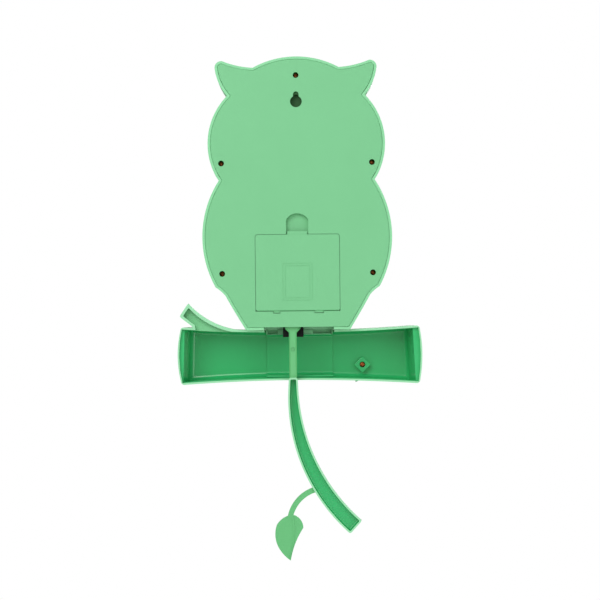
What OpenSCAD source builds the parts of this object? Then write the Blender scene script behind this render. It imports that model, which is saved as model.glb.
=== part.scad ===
// Wall clock in the shape of an owl on a branch, with a swinging twig and eyes that follow it.
// Millimetres. The back lies on y = 0 against the wall, the dial faces -Y, and +Z is up.
// The origin is the centre of the keyhole's entry hole, on the back face.

/* [Body] */
// Wall thickness of the front shell
shell_wall = 1.9; // [1.6:0.1:2.2]
// Gap between the back cover's edge and the shell's wall
cover_gap = 0.3; // [0.3:0.1:0.6]
// Thickness of the back cover
cover_t = 2.5; // [2.2:0.1:3]
// How far the shell's rim stands behind the cover's face
rim_step = 0.6; // [0.3:0.1:1]

/* [Keyhole] */
// Radius of the keyhole's entry hole
key_r = 4.4; // [4.2:0.1:4.8]
// Width of the keyhole's slot
key_slot = 4.2; // [3.8:0.2:4.6]
// Height of the slot's round end above the entry hole's centre
key_rise = 5.4; // [5:0.2:6.5]

/* [Branch] */
// Wall thickness of the branch
branch_wall = 2; // [1.6:0.1:2.4]
// Depth of the branch's floor behind the wall plane
branch_floor = 46.5; // [46:0.1:46.8]

/* [Pendulum] */
// Width of the pendulum's flat arm
arm_w = 5.4; // [4.6:0.2:6]
// Width of the twig at its top
twig_top_w = 6.6; // [6:0.2:7]
// Width of the twig at its tip
twig_tip_w = 13.2; // [11:0.2:14]
// Radius of the twig's bend
twig_bend_r = 138; // [130:1:150]
// Angle that the twig bends through
twig_bend = 48.3; // [44:0.1:50]

/* [Dial] */
// Radius of the dial plate
dial_r = 43; // [42:0.5:43]
// Length of the minute hand
minute_len = 32; // [28:1:36]
// Length of the hour hand
hour_len = 22; // [18:1:25]

/* [Hidden] */
$fn = 48;

mint = "#7fd096";
deep_mint = "#46a564";
black = "#10160f";
steel = "#b9bdc2";
copper = "#a05a32";
brass = "#c9a84c";
white = "#f4f2ea";
orange = "#f0963c";

eps = 0.05;             // overshoot of a cut past the face that it opens
running = 0.08;         // radial clearance of a shaft in its hole

// Depths of the body's layers
shell_full = 38;        // depth to which the shell keeps its full outline
shell_front = 45.5;     // depth of the shell's flat front
shell_inside = 43.7;    // depth of the flat inside of the front
tray_depth = 21;        // depth of the battery tray's outer floor
tray_floor = 1.5;
lever_back = 22;        // the rocking lever lies between these two depths
lever_front = 25;
chassis_back = 26.5;
chassis_front = 28;
case_front = 42.4;      // depth of the movement's front

// Plan positions, as [x, z]
body_centre = [0, -70];     // the shell's front tiers shrink towards this point
body_bottom = -171.4;
dial_c = [0, -101];
pivot_c = [4.1, -112];
knob_c = [12, -110];
magnet_c = [4.1, -138];
branch_screw_c = [-49, -199];
top_screw_c = [0, 19.8];
side_screws = [[56.6, -46], [-56.6, -46], [56.6, -128.8], [-56.6, -128.8]];
case_screw_places = concat([top_screw_c], side_screws);
chassis_screw_places = [[34, -66], [-34, -66], [34, -140], [-34, -140]];
bracket_screw_places = [[43.5, -33], [-43.5, -33]];

// Eyes
eye_x = 24;
eye_z = -33;
eye_depth = 36;         // depth of the eyes' upright axes
eye_r = 15;
eye_hole_r = 13.4;
crank_len = 16;
crank_pin_r = 1.2;
bar_z = -36.3;          // height of the eye bar's middle
bar_t = 2.2;
bar_play = 0.4;         // sideways play of a pin or the lever in its slot

// Battery door
door_hw = 31.8;         // half the width of the door's opening
door_top = -99.5;
door_bottom = -157.4;
door_gap = 0.3;
door_t = 2;
door_r = 2;             // corner radius of the door's opening
tab_hw = 7.7;
latch_rise = 2.2;
hinge_tabs = [[13.5, 18.3], [-19.1, -12.7]];
hinge_r = 1;            // the door's rounded lower edge turns about its own centre line
hinge_z = door_bottom + door_gap + hinge_r;
bay_top = -101.2;
bay_bottom = -155.6;
cell_xs = [-21.5, -5.5];
cell_depth = 9.9;

// Pendulum
arm_x = 4.1;
arm_back = 3.2;
arm_front = 8.4;
twig_back = 1.5;
twig_front = 10;
twig_wall = 1.3;
twig_top = -207.3;
twig_straight = 9.7;
foot_x = [-4, 11.5];
foot_bottom = -176.8;

// Branch
branch_rim = 11;
stub_front = 21;            // depth of the side branch's front
notch_x = [-27.2, 25.5];    // opening in the branch's top wall
tongue_x = [-26.3, 24.3];   // the body's tongue, which lines the branch inside
tongue_gap = 0.15;
tongue_t = 1.2;
skirt_back = 21.5;
skirt_pockets = [[15.6, 23.2], [-25.3, -11.2]];

// Motion work
cannon_teeth = 12;
wheel_teeth = 36;
pinion_teeth = 10;
hour_teeth = 40;
mesh_dist = norm(knob_c - dial_c);
mesh_angle = atan2(knob_c[1] - dial_c[1], knob_c[0] - dial_c[0]);
minute_module = 2 * mesh_dist / (cannon_teeth + wheel_teeth);
hour_module = 2 * mesh_dist / (pinion_teeth + hour_teeth);

// ---- Points and lists ----

function unit(v) = v / norm(v);
function right_of(v) = [v[1], -v[0]];

// Arc round centre c from angle a0 to a1, in n steps
function arc(c, r, a0, a1, n) = [for (i = [0:n]) let (a = a0 + (a1 - a0) * i / n) c + r * [cos(a), sin(a)]];

// Arc from p to q that bulges by sag to the left of that direction, in n steps
function bow(p, q, sag, n) =
    let (
        d = q - p,
        r = (d * d / 4 + sag * sag) / (2 * abs(sag)),
        c = (p + q) / 2 - right_of(unit(d)) * (sag - sign(sag) * r),
        a0 = atan2(p[1] - c[1], p[0] - c[0]),
        turn = atan2(q[1] - c[1], q[0] - c[0]) - a0,
        sweep = turn > 180 ? turn - 360 : turn < -180 ? turn + 360 : turn
    )
    arc(c, r, a0, a0 + sweep, n);

// One closed loop from stretches that each end where the next begins
function loop_of(stretches) = [for (s = stretches) for (i = [0:len(s) - 2]) s[i]];

// A clockwise loop moved inwards by d
function inset(pts, d) =
    [for (i = [0:len(pts) - 1])
        let (
            before = pts[(i + len(pts) - 1) % len(pts)],
            after = pts[(i + 1) % len(pts)],
            m = right_of(unit(pts[i] - before)) + right_of(unit(after - pts[i]))
        )
        pts[i] + m * (2 * d / (m * m))];

function shrink(pts, k) = [for (p = pts) body_centre + k * (p - body_centre)];
function flip(pts) = [for (i = [len(pts) - 1:-1:0]) [-pts[i][0], pts[i][1]]];

// Rectangle with corners of radius r, from [low, high] limits in x and z
function round_rect(x, z, r) =
    concat(arc([x[1] - r, z[1] - r], r, 90, 0, 4), arc([x[1] - r, z[0] + r], r, 0, -90, 4),
        arc([x[0] + r, z[0] + r], r, -90, -180, 4), arc([x[0] + r, z[1] - r], r, 180, 90, 4));

// A strip along a path, with its half-width at each point
function strip(path, half) =
    let (
        last = len(path) - 1,
        side = [for (i = [0:last]) right_of(unit(path[min(i + 1, last)] - path[max(i - 1, 0)]))]
    )
    concat([for (i = [0:last]) path[i] - half[i] * side[i]], [for (i = [last:-1:0]) path[i] + half[i] * side[i]]);

// Teeth with straight flanks: narrow enough to leave play in the mesh
function gear(teeth, mod, phase) =
    let (rp = teeth * mod / 2, pitch = 360 / teeth)
    [for (i = [0:teeth - 1])
        for (t = [[-0.27, -1.1], [-0.1, 0.75], [0.1, 0.75], [0.27, -1.1]])
            let (a = phase + (i + t[0]) * pitch) (rp + t[1] * mod) * [cos(a), sin(a)]];

// ---- Solids in the part's own directions ----

// A flat outline in X and Z, from depth a to depth b behind the wall plane
module slab(pts, a, b) {
    translate([0, -a, 0]) rotate([90, 0, 0]) linear_extrude(b - a) polygon(pts);
}

// A round rod along Y at plan position c, from depth a to depth b
module rod(c, a, b, r) {
    translate([c[0], -a, c[1]]) rotate([90, 0, 0]) cylinder(h = b - a, r = r);
}

// A box from its limits: x and z as [low, high], depth as [near the wall, far]
module box(x, depth, z) {
    translate([x[0], -depth[1], z[0]]) cube([x[1] - x[0], depth[1] - depth[0], z[1] - z[0]]);
}

module tube(c, a, b, r_out, r_in) {
    difference() {
        rod(c, a, b, r_out);
        rod(c, a - eps, b + eps, r_in);
    }
}

// A self-tapping screw whose head's top is at depth a
module screw(c, a, length, head_r, shank_r) {
    difference() {
        union() {
            rod(c, a, a + 1.6, head_r);
            rod(c, a + 1.6 - eps, a + length, shank_r);
        }
        for (turn = [0, 90])
            translate([c[0], -a - 0.4, c[1]]) rotate([0, turn, 0]) cube([head_r * 1.3, 0.9, 0.6], center = true);
    }
}

// ---- Outlines ----

body_half = [
    bow([0, 33.8], [32.3, 25.6], 2.08, 5),                  // crown
    bow([32.3, 25.6], [55.2, 30.8], -1, 3),                 // top of the ear tuft
    bow([55.2, 30.8], [60.7, 24.8], 2.1, 4),                // its tip
    bow([60.7, 24.8], [51.7, 4.7], 1.6, 3),                 // its outer edge
    arc([15.1, -31.5], 51.5, 44.7, -31.7, 12),              // head
    arc([-6.8, -101.5], 78, 33.2, -28.7, 12),               // belly
    bow([61.6, -139], [54.3, -145.3], -0.4, 2),             // step above the foot part
    bow([54.3, -145.3], [40.4, -169.1], 0.2, 2),
    bow([40.4, -169.1], [37.6, body_bottom], 0.6, 2),
    [[37.6, body_bottom], [0, body_bottom]]];
body_right = loop_of(body_half);
body_pts = concat(body_right, [[0, body_bottom]], [for (p = flip(body_right)) if (p[0] < -eps) p]);

// The branch with rounded corners, and with sharp ones for its insets
branch_pts = loop_of([
    bow([-89, -169], [86.3, -168.8], -3.15, 10),
    bow([86.3, -168.8], [89, -171.6], 0.85, 3),
    bow([89, -171.6], [88.9, -209.6], 2.2, 6),
    bow([88.9, -209.6], [86, -212.3], 0.85, 3),
    bow([86, -212.3], [-88.9, -212.7], -3.1, 10),
    bow([-88.9, -212.7], [-91.8, -209.9], 0.85, 3),
    bow([-91.8, -209.9], [-91.9, -171.9], 1.7, 6),
    bow([-91.9, -171.9], [-89, -169], 0.85, 3)]);
branch_sharp_pts = loop_of([
    bow([-91.9, -169], [89.1, -168.8], -3.15, 10),
    bow([89.1, -168.8], [88.9, -212.4], 2.2, 4),
    bow([88.9, -212.4], [-91.8, -212.8], -3.1, 10),
    bow([-91.8, -212.8], [-91.9, -169], 1.7, 4)]);

// The broken-off side branch
stub_pts = loop_of([
    bow([42, -171.5], [82.9, -150.7], -4.4, 8),
    [[82.9, -150.7], [89.6, -160.7]],
    [[89.6, -160.7], [79.8, -168.3]],
    [[79.8, -168.3], [78.5, -173]],
    [[78.5, -173], [44, -173]],
    [[44, -173], [42, -171.5]]]);
stub_hollow_pts = loop_of([
    bow([45, -173.2], [82.6, -154], -4, 8),
    [[82.6, -154], [86.9, -160.3]],
    [[86.9, -160.3], [78, -167.2]],
    [[78, -167.2], [76.5, -178]],
    [[76.5, -178], [45, -178]],
    [[45, -178], [45, -173.2]]]);

door_pts = round_rect([-door_hw, door_hw], [door_bottom, door_top], door_r);

recess_pts = loop_of([
    [[-8.3, -97.4], [-8.3, -88.5]],
    bow([-8.3, -88.5], [8.3, -88.5], 4.6, 8),
    [[8.3, -88.5], [8.3, door_top]],
    [[8.3, door_top], [-8.3, door_top]],
    [[-8.3, door_top], [-8.3, -97.4]]]);

twig_steps = 14;
twig_path = concat(
    [[arm_x, twig_top], [arm_x, twig_top - twig_straight / 2]],
    arc([arm_x - twig_bend_r, twig_top - twig_straight], twig_bend_r, 0, -twig_bend, twig_steps));
twig_len = twig_straight + twig_bend_r * twig_bend * PI / 180;
// The twig widens quickly at first and then more slowly
function twig_half(s) = (twig_top_w + (twig_tip_w - twig_top_w) * (1 - pow(1 - s / twig_len, 2))) / 2;
twig_halves = concat(
    [twig_half(0), twig_half(twig_straight / 2)],
    [for (i = [0:twig_steps])
        twig_half(twig_straight + (twig_len - twig_straight) * i / twig_steps)]);
twig_pts = strip(twig_path, twig_halves);

stem_steps = 8;
stem_pts = strip(bow([-15, -291], [7.4, -312.5], 4.9, stem_steps), [for (i = [0:stem_steps]) 2]);

leaf_pts = loop_of([
    bow([5.5, -310.4], [17.5, -318], 1.6, 3),
    bow([17.5, -318], [15.4, -336.6], 2.2, 4),
    bow([15.4, -336.6], [7.3, -345], 0.6, 2),
    bow([7.3, -345], [4, -332.8], -0.3, 2),
    bow([4, -332.8], [-2.4, -320.4], -0.4, 2),
    bow([-2.4, -320.4], [5.5, -310.4], 2.2, 4)]);

head_pts = [[arm_x - arm_w / 2, -173.5], [arm_x - arm_w, -170.5], [arm_x - arm_w, -166.5],
    [arm_x + arm_w, -166.5], [arm_x + arm_w, -170.5], [arm_x + arm_w / 2, -173.5]];

branch_leaf_pts = loop_of([
    bow([-62, -180], [-43.8, -212.6], 7, 6),
    bow([-43.8, -212.6], [-62, -180], 7, 6)]);

// Tiers of the shell: [depth, depth, scale]; the first inner one is a plain inset of the outline
shell_tiers = [[rim_step, shell_full, 1], [shell_full, 41.5, 0.975], [41.5, 44, 0.945], [44, shell_front, 0.91]];
hollow_tiers = [[36, 39.7, 0.94], [39.7, 42.2, 0.91], [42.2, shell_inside, 0.875]];

// Tiers of the branch: [depth, depth, inset]
branch_tiers = [[42, 46, 1.5], [46, 48.5, 4], [48.5, 50, 8]];
branch_hollow = [[branch_rim - eps, 40, 0], [40, 44, 1.5], [44, branch_floor, 4]];

// ---- Housing ----

module body_solid() {
    for (t = shell_tiers) slab(shrink(body_pts, t[2]), t[0], t[1]);
}

module body_hollow() {
    slab(inset(body_pts, shell_wall), rim_step - eps, 36 + eps);
    for (t = hollow_tiers) slab(shrink(body_pts, t[2]), t[0], t[1]);
}

// Screw post with a web that ties it to the wall, reach long towards direction out
module post(c, out, reach) {
    difference() {
        union() {
            rod(c, 9.5, 34, 3.5);
            box([c[0] + min(0, out[0] * reach) - 1.2 * abs(out[1]), c[0] + max(0, out[0] * reach) + 1.2 * abs(out[1])],
                [12, 34],
                [c[1] + min(0, out[1] * reach) - 1.2 * abs(out[0]), c[1] + max(0, out[1] * reach) + 1.2 * abs(out[0])]);
        }
        rod(c, 9.4, 24, 0.95);
    }
}

module front_post(c, r) {
    tube(c, chassis_front, shell_inside + 0.5, r, 0.95);
}

// Lining that the body pushes into the branch
module tongue() {
    intersection() {
        box(tongue_x, [skirt_back, 60], [-215, -172]);
        difference() {
            for (t = branch_hollow)
                slab(inset(branch_sharp_pts, branch_wall + t[2] + tongue_gap), t[0] - 0.2, t[1] - tongue_gap);
            for (t = branch_hollow)
                slab(inset(branch_sharp_pts, branch_wall + t[2] + tongue_gap + tongue_t),
                    t[0] - tongue_gap - tongue_t - eps, t[1] - tongue_gap - tongue_t);
        }
    }
}

module skirt() {
    difference() {
        box(tongue_x, [skirt_back, 39.8], [-175.6, -169.3]);
        for (x = skirt_pockets) box(x, [skirt_back - 1, skirt_back + 3], [-174.3, body_bottom + 0.1]);
    }
}

module front_shell() {
    color(mint)
    difference() {
        union() {
            difference() {
                body_solid();
                body_hollow();
                // passage for the pendulum in the bottom wall
                box([-26.8, 25.7], [-1, skirt_back], [-175, -168]);
            }
            post(top_screw_c, [0, 1], 13);
            for (c = side_screws) post(c, [sign(c[0]), 0], c[1] > -100 ? 7 : 9);
            for (c = chassis_screw_places) front_post(c, 3.2);
            for (c = bracket_screw_places) front_post(c, 2.6);
            skirt();
            tongue();
        }
        rod(dial_c, 40, 50, 40);
        for (side = [-1, 1]) rod([side * eye_x, eye_z], 42, 50, eye_hole_r);
    }
}

module tray_outside() {
    box([-door_hw - 2, door_hw + 2], [door_t + door_gap, tray_depth], [door_bottom, door_top + 0.2]);
    box([-10, 10], [cover_t - eps, 6], [door_top - 1, -82.3]);
}

module tray_inside() {
    box([-30, 2], [-1, tray_depth - tray_floor], [bay_bottom, bay_top]);
    box([3.5, 30], [-1, tray_depth - tray_floor], [bay_bottom, bay_top]);
}

module back_cover() {
    color(mint)
    difference() {
        union() {
            difference() {
                slab(inset(body_pts, shell_wall + cover_gap), 0, cover_t);
                slab(door_pts, -1, 5);
                // square lower corners, in which the door's own can turn
                box([-door_hw, door_hw], [-1, 5], [door_bottom, door_bottom + door_r]);
            }
            tray_outside();
            for (c = case_screw_places) rod(c, cover_t - eps, 9.3, 3.4);
            // closed cup behind the keyhole
            rod([0, 0], cover_t - eps, 9, 6.6);
            rod([0, key_rise], cover_t - eps, 9, 4.2);
        }
        tray_inside();
        slab(door_pts, -1, door_t + door_gap);
        box([-door_hw, door_hw], [-1, door_t + door_gap], [door_bottom, door_bottom + door_r]);
        slab(recess_pts, -1, 4.8);
        for (c = case_screw_places) {
            rod(c, -1, 7.8, 2.2);
            rod(c, 7, 10, 1.2);
        }
        // keyhole, with the cup's hollow behind it for the screw's head
        rod([0, 0], -1, cover_t + eps, key_r);
        box([-key_slot / 2, key_slot / 2], [-1, cover_t + eps], [0, key_rise]);
        rod([0, key_rise], -1, cover_t + eps, key_slot / 2);
        rod([0, 0], cover_t, 7.8, 5.4);
        // slots for the door's hinge tabs
        for (t = hinge_tabs) box([t[0] - door_gap, t[1] + door_gap], [-1, 4], [door_bottom - 1.5, bay_bottom]);
        // hole for the setting knob's shaft
        rod(knob_c, tray_depth - tray_floor - 1, tray_depth + 1, 1.5 + running);
    }
}

module battery_door() {
    color(mint)
    difference() {
        union() {
            intersection() {
                slab(inset(door_pts, door_gap), 0, door_t);
                union() {
                    box([-40, 40], [-1, 3], [hinge_z, door_top]);
                    translate([-40, -hinge_r, hinge_z]) rotate([0, 90, 0]) cylinder(h = 80, r = hinge_r);
                }
            }
            box([-tab_hw + door_gap, tab_hw - door_gap], [0.3, 1.7], [door_top - 1, door_top + latch_rise]);
            for (t = hinge_tabs) box(t, [1.1, door_t], [door_bottom - 1.1, hinge_z]);
        }
        // shallow double line of the label field
        for (side = [11.2, 9.4])
            difference() {
                box([-side, side], [-1, 0.25], [-138.2 - side, -132.5 + side]);
                box([-side + 0.4, side - 0.4], [-2, 1], [-137.8 - side, -132.9 + side]);
            }
    }
}

module branch_shell() {
    color(mint)
    difference() {
        union() {
            slab(branch_pts, branch_rim, 42);
            for (t = branch_tiers) slab(inset(branch_sharp_pts, t[2]), t[0], t[1]);
            slab(stub_pts, branch_rim, stub_front);
        }
        difference() {
            for (t = branch_hollow) slab(inset(branch_sharp_pts, branch_wall + t[2]), t[0], t[1]);
            // post for the leaf's screw
            translate([branch_screw_c[0], -branch_floor - 1, branch_screw_c[1]]) rotate([0, 45, 0])
                translate([-4.5, 0, -4.5]) cube([9, 6, 9]);
        }
        // the side branch's hollow runs into the branch's own
        slab(stub_hollow_pts, branch_rim - eps, stub_front - 2.4);
        // notch that lets the body's skirt in
        box(notch_x, [0, 40.4], [-174.9, -160]);
        rod(branch_screw_c, 30, 60, 1.2);
        rod(branch_screw_c, 30, 43.2, 2.2);
    }
}

module branch_leaf() {
    color(mint)
    difference() {
        union() {
            slab(branch_leaf_pts, 50, 52);
            slab(inset(branch_leaf_pts, 2), 52 - eps, 53);
            rod(branch_screw_c, 50.1, 54.5, 3);
        }
        rod(branch_screw_c, 49, 53.5, 1);
    }
}

// ---- Fasteners ----

module case_screws() {
    color(copper) for (c = case_screw_places) screw(c, 6.2, 16, 2, 0.95);
}

module branch_screw() {
    color(copper) screw(branch_screw_c, 41.6, 11, 2, 1);
}

module chassis_screws() {
    color(steel) for (c = chassis_screw_places) screw(c, chassis_back - 1.6, 12, 2.2, 0.95);
}

module bracket_screws() {
    color(steel) for (c = bracket_screw_places) screw(c, 24.4, 12, 2.2, 0.95);
}

// ---- Battery compartment ----

// A cell standing on z = 0, with its nub up
module cell() {
    cylinder(h = 48.6, r = 7.1);
    translate([0, 0, 48.6 - eps]) cylinder(h = 1.2, r = 2.75);
}

module aa_cells() {
    color(steel) {
        translate([cell_xs[0], -cell_depth, -151.9]) cell();
        translate([cell_xs[1], -cell_depth, -104.95]) mirror([0, 0, 1]) cell();
    }
}

// A conical coil spring standing on z = 0
spring_turns = 3;
spring_steps = 14;
spring_sides = 6;
spring_h = 2.35;
spring_wire = 0.35;
function spring_ring(t) =
    let (a = 360 * t, r = 5 - 0.7 * t, z = spring_h * t / spring_turns)
    [for (k = [0:spring_sides - 1])
        let (b = 360 * k / spring_sides, d = r + spring_wire * cos(b))
        [d * cos(a), d * sin(a), z + spring_wire * sin(b)]];

module spring() {
    rings = spring_turns * spring_steps;
    pts = [for (i = [0:rings]) for (p = spring_ring(i / spring_steps)) p];
    sides = [for (i = [0:rings - 1]) for (k = [0:spring_sides - 1])
        let (a = i * spring_sides + k, b = i * spring_sides + (k + 1) % spring_sides)
        [a, b, b + spring_sides, a + spring_sides]];
    ends = [[for (k = [spring_sides - 1:-1:0]) k],
        [for (k = [0:spring_sides - 1]) rings * spring_sides + k]];
    polyhedron(pts, concat(sides, ends));
}

module spring_contacts() {
    color(steel) {
        translate([cell_xs[0], -cell_depth, bay_bottom + 0.9]) spring();
        translate([cell_xs[1], -cell_depth, bay_top - 0.9]) mirror([0, 0, 1]) spring();
        box([cell_xs[0] - 6, cell_xs[0] + 6], [4, 16], [bay_bottom, bay_bottom + 0.5]);
        box([cell_xs[1] - 6, cell_xs[1] + 6], [4, 16], [bay_top - 0.5, bay_top]);
    }
}

module plate_contacts() {
    color(steel) {
        box([cell_xs[0] - 6, cell_xs[0] + 6], [4, 16], [bay_top - 0.5, bay_top]);
        box([cell_xs[1] - 6, cell_xs[1] + 6], [4, 16], [bay_bottom, bay_bottom + 0.5]);
    }
}

// ---- Chassis and swing drive ----

module chassis_plate() {
    color(black)
    difference() {
        box([-38, 38], [chassis_back, chassis_front], [-146, -62]);
        for (c = chassis_screw_places) rod(c, 26, 29, 1.2);
        rod(knob_c, 26, 29, 3);
        rod(pivot_c, 26, 29, 1.5);
        rod(magnet_c, 26, 29, 6);
    }
}

module pivot_pin() {
    color(steel) {
        rod(pivot_c, 21.3, chassis_front, 1.5);
        rod(pivot_c, 21.15, 21.75, 2.6);
    }
}

module drive_coil() {
    color(copper)
    difference() {
        union() {
            rod(magnet_c, 25.8, 34, 6);
            rod(magnet_c, chassis_front, 29, 7.2);
            rod(magnet_c, 33, 34, 7.2);
        }
        rod(magnet_c, 30, 35, 1.8);
    }
}

module rocker_lever() {
    color(black)
    difference() {
        union() {
            // upper arm, with a narrow tip in the eye bar's slot
            box([arm_x - 2.5, arm_x + 2.5], [lever_back, lever_front], [pivot_c[1], -42]);
            box([arm_x - 1.5, arm_x + 1.5], [lever_back, lever_front], [-42 - eps, -33]);
            rod(pivot_c, lever_back, lever_front, 4.5);
            // lower arm, round the magnet, down to the foot
            box([arm_x - 3, arm_x + 3], [lever_back, lever_front], [-162, pivot_c[1]]);
            rod(magnet_c, lever_back, lever_front, 5);
            box([foot_x[0] + 2, foot_x[1] - 2], [9, lever_front], [-166, -160]);
            box(foot_x, [9, 19.5], [foot_bottom, -162]);
        }
        rod(pivot_c, 21, 26, 1.5 + running);
        rod(magnet_c, 21, 26, 3);
        // socket for the twig's peg
        rod([arm_x, -171.5], 8, 15, 1.6);
    }
}

module rocker_magnet() {
    color(steel) rod(magnet_c, lever_back, lever_front, 3);
}

module pendulum_twig() {
    color(mint) {
        difference() {
            union() {
                box([arm_x - arm_w / 2, arm_x + arm_w / 2], [arm_back, arm_front], [twig_top - 1, -168]);
                slab(head_pts, arm_back, arm_front);
                slab(twig_pts, twig_back, twig_front);
                slab(stem_pts, 5, 8);
                slab(leaf_pts, 5.5, 7.5);
                rod([arm_x, -171.5], arm_front - eps, 14, 1.6);
            }
            slab(inset(twig_pts, twig_wall), twig_back - 1, twig_front - twig_wall);
        }
    }
}

// ---- Movement ----

module movement_case() {
    color(black)
    difference() {
        union() {
            box([-28, 28], [30, case_front], [-129, -73]);
            rod(dial_c, case_front - eps, 45.4, 4);
        }
        box([-26.6, 26.6], [29, case_front - 1.4], [-127.6, -74.4]);
        rod(dial_c, 40, 46, 2.3 + running);
    }
}

module movement_lid() {
    color(black)
    difference() {
        box([-28, 28], [chassis_front, 30], [-129, -73]);
        rod(knob_c, 27, 31, 1.5 + running);
        rod(dial_c, 29, 31, 1.4 + running);
    }
}

module movement_nut() {
    color(brass)
    difference() {
        translate([dial_c[0], -shell_inside, dial_c[1]]) rotate([90, 0, 0]) cylinder(h = 1.6, r = 6, $fn = 6);
        rod(dial_c, 43, 46, 4);
    }
}

module circuit_board() {
    color("#1e5a32") box([-25.5, -7], [31, 32.2], [-126.5, -108]);
}

module quartz_crystal() {
    color(steel) translate([-22, -33.6, -112]) rotate([0, 90, 0]) cylinder(h = 8, r = 1.4);
}

module stepper_coil() {
    color(copper)
    translate([-22, -37.75, -122]) rotate([0, 90, 0]) {
        cylinder(h = 14, r = 2.4);
        cylinder(h = 1, r = 3.1);
        translate([0, 0, 13]) cylinder(h = 1, r = 3.1);
    }
}

module stepper_stator() {
    color(steel)
    difference() {
        box([-25, -5], [33, 34.5], [-124, -115]);
        rod([-10, -119.5], 32, 36, 2.6);
    }
}

module minute_arbor() {
    color(brass) {
        rod(dial_c, 29.2, 48.4, 1.4);
        translate([dial_c[0], 0, dial_c[1]]) slab(gear(cannon_teeth, minute_module, mesh_angle), 36, 37.4);
    }
}

module hour_wheel() {
    color(brass)
    difference() {
        union() {
            rod(dial_c, 38.8, 46.6, 2.3);
            translate([dial_c[0], 0, dial_c[1]])
                slab(gear(hour_teeth, hour_module, mesh_angle + 180 / hour_teeth), 38.8, 40);
        }
        rod(dial_c, 38, 47, 1.4 + running);
    }
}

module minute_wheel() {
    color(brass)
    difference() {
        translate([knob_c[0], 0, knob_c[1]]) {
            slab(gear(wheel_teeth, minute_module, mesh_angle + 180 + 180 / wheel_teeth), 36, 37.4);
            slab(gear(pinion_teeth, hour_module, mesh_angle + 180), 37.4 - eps, 40.2);
        }
        rod(knob_c, 35, 41, 1.5);
    }
}

module set_knob() {
    color(black) {
        rod(knob_c, 12, 40.4, 1.5);
        difference() {
            rod(knob_c, 11, 18.8, 5);
            for (i = [0:11])
                translate([knob_c[0] + 5.4 * cos(30 * i), -10, knob_c[1] + 5.4 * sin(30 * i)])
                    rotate([90, 0, 0]) cylinder(h = 10, r = 0.9);
        }
    }
}

// ---- Dial and hands ----

module dial_plate() {
    color(white) tube(dial_c, 42.5, shell_inside, dial_r, 4.1);
}

module dial_marks() {
    color(black)
    for (i = [0:11])
        translate([dial_c[0], -shell_inside, dial_c[1]]) rotate([0, 30 * i, 0])
            translate([-0.7, -0.4, i % 3 == 0 ? 30 : 33]) cube([1.4, 0.4, i % 3 == 0 ? 8 : 5]);
}

module dial_bezel() {
    color(mint)
    difference() {
        rod(dial_c, shell_front, 51.8, 46);
        rod(dial_c, 45, 52, 41);
        rod(dial_c, 50, 52, 43.2);
    }
}

module dial_lens() {
    color("#dfeff5", 0.35) rod(dial_c, 50, 51.2, 43.1);
}

// A hand that points up, pushed on its pipe of radius pipe_r
module hand(length, width, pipe_r, a, b) {
    difference() {
        translate([dial_c[0], 0, dial_c[1]]) {
            slab([[-width / 2, 0], [-width / 4, length], [width / 4, length], [width / 2, 0], [width / 4, -8],
                [-width / 4, -8]], a, b);
            rod([0, 0], a, b, pipe_r + 1.6);
        }
        rod(dial_c, a - 1, b + 1, pipe_r);
    }
}

module hour_hand() {
    color(black) hand(hour_len, 4.4, 2.3, 45.9, 46.5);
}

module minute_hand() {
    color(black) hand(minute_len, 3.6, 1.4, 47.2, 47.8);
}

module hand_cap() {
    color(brass)
    difference() {
        rod(dial_c, 47.85, 49.3, 2.6);
        rod(dial_c, 47, 48.5, 1.4);
    }
}

// ---- Front ornaments ----

module beak() {
    color(orange) {
        slab([[-5, -44], [0, -42.5], [5, -44], [0, -54.5]], shell_front, 48);
        slab([[-3, -45], [0, -44], [3, -45], [0, -52]], 48 - eps, 50);
    }
}

module eye_rings() {
    color(white) for (side = [-1, 1]) tube([side * eye_x, eye_z], shell_front, 47.5, 19, 14);
}

module feet() {
    color(orange)
    for (side = [-1, 1])
        for (toe = [-1, 0, 1]) rod([side * 21 + toe * 5.6, -160 - 1.5 * (1 - abs(toe))], shell_front, 49.5, 4);
}

// Crescent that lies beside the dial, on the side given as 1 or -1
module wing(side) {
    difference() {
        rod([side * 10, -103], shell_front, 47.4, 52);
        rod(dial_c, 45, 48, 49.5);
        box(side > 0 ? [-60, 20] : [-20, 60], [45, 48], [-170, -40]);
    }
}

module left_wing() {
    color(deep_mint) wing(1);
}

module right_wing() {
    color(deep_mint) wing(-1);
}

// ---- Eyes ----

module eye_bracket() {
    color(black)
    difference() {
        union() {
            box([-47, 47], [26, chassis_front], [-54, -12]);
            for (side = [-1, 1]) {
                // bearing lugs above and below each eye
                for (z = [[-51.6, -48.6], [-17.4, -14.4]])
                    box([side * eye_x - 4, side * eye_x + 4], [27, 40], z);
                // guide loop of the eye bar
                box([side * 37 - 2, side * 37 + 2], [14.5, 27], [-40, -32.6]);
            }
        }
        for (side = [-1, 1]) {
            translate([side * eye_x, -eye_depth, -60]) cylinder(h = 60, r = 1.5 + running);
            box([side * eye_x - 8.5, side * eye_x + 8.5], [25, 29], [-36.5, -29.5]);
            box([side * 37 - 3, side * 37 + 3], [16.2, 25.8], [bar_z - bar_t / 2 - 0.3, bar_z + bar_t / 2 + 0.3]);
        }
        for (c = bracket_screw_places) rod(c, 25, 29, 1.2);
        box([-8, 16], [25, 29], [-55, -20]);
    }
}

module eye_bar() {
    color(steel)
    difference() {
        box([-50, 50], [16.5, 25.5], [bar_z - bar_t / 2, bar_z + bar_t / 2]);
        for (side = [-1, 1])
            box([side * eye_x - crank_pin_r - bar_play, side * eye_x + crank_pin_r + bar_play],
                [18.2, 23.9], [-40, -30]);
        // slot for the rocking lever, open in front
        box([arm_x - 1.5 - bar_play, arm_x + 1.5 + bar_play], [21.5, 26], [-40, -30]);
    }
}

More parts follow.
